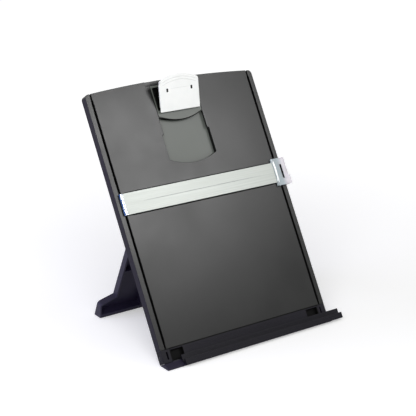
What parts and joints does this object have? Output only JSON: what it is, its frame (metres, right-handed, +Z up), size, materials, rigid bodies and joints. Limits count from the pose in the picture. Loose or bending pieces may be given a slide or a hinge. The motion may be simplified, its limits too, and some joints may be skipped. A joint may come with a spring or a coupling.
{
  "type": "copy holder with line guide",
  "caption": "Leaning desk board on a fold-out leg, with a sprung sliding paper clip, a line guide that slides in two grooves and a sideways-sliding paper ledge.",
  "frame": {"origin": "on the table, under the middle of the rubber strip in the base rail's sole", "axes": "+X to the reader's right along the board, +Y to the back towards the rear leg, +Z up"},
  "size_m": [0.2538, 0.1891, 0.2953],
  "materials": {
    "board": "satin moulded black plastic with a fine texture",
    "track_back_plate": "black moulded plastic",
    "base": "satin moulded black plastic",
    "ledge": "satin black plastic with fine long ridges",
    "leg": "black moulded plastic",
    "slider": "satin moulded black plastic",
    "clip": "white satin plastic",
    "jaw": "soft black rubber",
    "steel": "bright drawn steel",
    "screws": "dark plated steel",
    "strip": "long-brushed silver",
    "clear": "clear moulded plastic",
    "clear_blue": "clear moulded plastic, blue at the edge",
    "rubber": "black rubber"
  },
  "bodies": {
    "frame": {"board": "board", "track_back_plate": "track_back_plate", "track_plate_screws": "screws", "base_rail": "base", "base_screws": "screws", "base_end_cap_left": "base", "base_end_cap_right": "base", "end_cap_screws": "screws", "front_grip_strip": "rubber", "leg_hinge_bracket_left": "leg", "leg_hinge_bracket_right": "leg", "leg_hinge_pin_left": "steel", "leg_hinge_pin_right": "steel", "bracket_screws": "screws"},
    "ledge": {"paper_ledge": "ledge"},
    "clip_slide": {"clip_slider": "slider", "slider_friction_spring": "steel", "clip_pivot_pin": "steel", "clip_torsion_spring": "steel"},
    "clip": {"clip_lever": "clip", "clip_jaw_pad": "jaw"},
    "guide": {"guide_strip": "strip", "guide_left_runner": "clear_blue", "guide_carriage": "clear", "guide_tension_spring": "steel"},
    "leg": {"rear_leg": "leg", "leg_foot_pad_left": "rubber", "leg_foot_pad_right": "rubber"}
  },
  "joints": [
    {"name": "ledge_slide", "type": "slide", "parent": "frame", "child": "ledge", "axis": [1, 0, 0], "range_m": [-0.04375, 0.00625]},
    {"name": "clip_height", "type": "slide", "parent": "frame", "child": "clip_slide", "axis": [0, 0.5, 0.866], "range_m": [-0.053, 0]},
    {"name": "clip_open", "type": "hinge", "parent": "clip_slide", "child": "clip", "pos_m": [0, 0.1485, 0.27363], "axis": [-1, 0, 0], "range_deg": [0, 25], "stiffness_Nm_per_rad": 0.25, "springref_deg": -20.05, "deforming": ["clip_torsion_spring"]},
    {"name": "guide_height", "type": "slide", "parent": "frame", "child": "guide", "axis": [0, 0.5, 0.866], "range_m": [-0.148, 0.026]},
    {"name": "leg_fold", "type": "hinge", "parent": "frame", "child": "leg", "pos_m": [0, 0.10749, 0.1562], "axis": [-1, 0, 0], "range_deg": [0, 52]}
  ]
}
